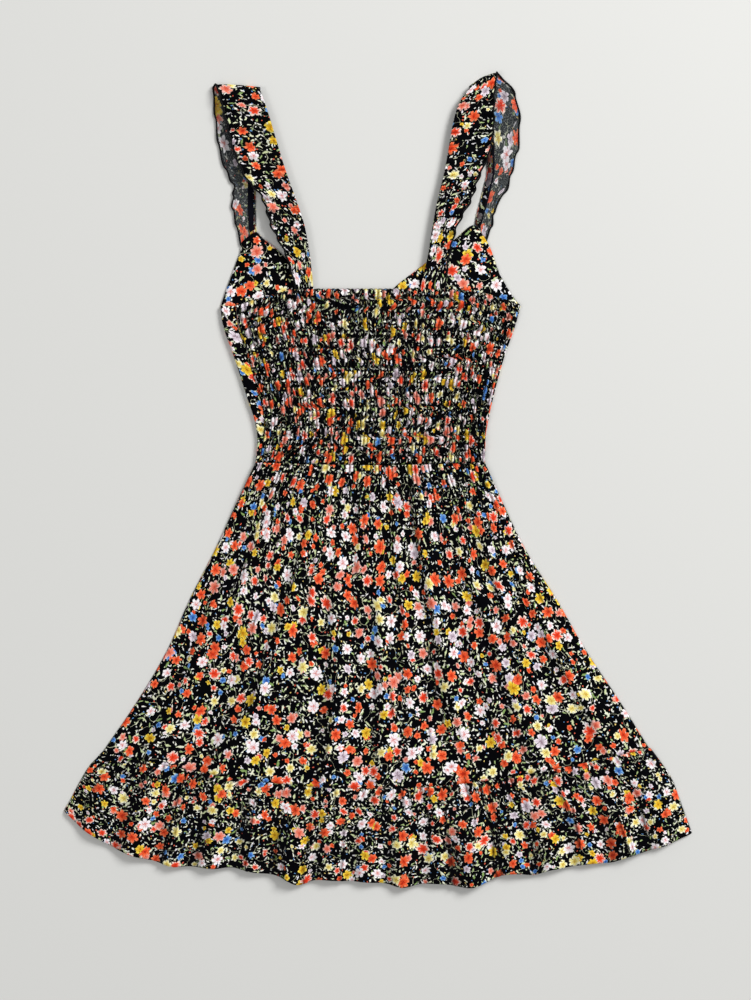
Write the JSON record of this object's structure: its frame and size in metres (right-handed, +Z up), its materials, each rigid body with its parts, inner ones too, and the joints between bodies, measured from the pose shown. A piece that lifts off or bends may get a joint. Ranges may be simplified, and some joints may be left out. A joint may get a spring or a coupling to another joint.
{
  "type": "sundress",
  "caption": "Short sleeveless sundress lying flat, back upwards: shirred back, ruffled elastic straps, self-lined cups, gathered skirt with a hem flounce, small floral print.",
  "frame": {"origin": "on the resting surface, under the middle of the dress's whole outline as it lies", "axes": "+X to the right as seen from above, +Y from the hem towards the straps, +Z up from the surface it lies on"},
  "size_m": [0.646, 0.8372, 0.0099],
  "materials": {
    "printed_crepe": "matte light crepe, near-black ground with a small coral, white, yellow and blue flower print",
    "navy_elastic": "matte narrow woven elastic, dark navy",
    "black_thread": "fine overlock and sewing thread, black"
  },
  "bodies": {
    "root": {"front_skirt": "printed_crepe", "front_flounce": "printed_crepe", "front_bodice": "printed_crepe", "front_lining": "printed_crepe", "back_bodice": "printed_crepe", "back_skirt": "printed_crepe", "back_flounce": "printed_crepe", "strap_ruffle_left": "printed_crepe", "strap_elastic_left": "navy_elastic", "strap_ruffle_right": "printed_crepe", "strap_elastic_right": "navy_elastic"}
  },
  "joints": []
}
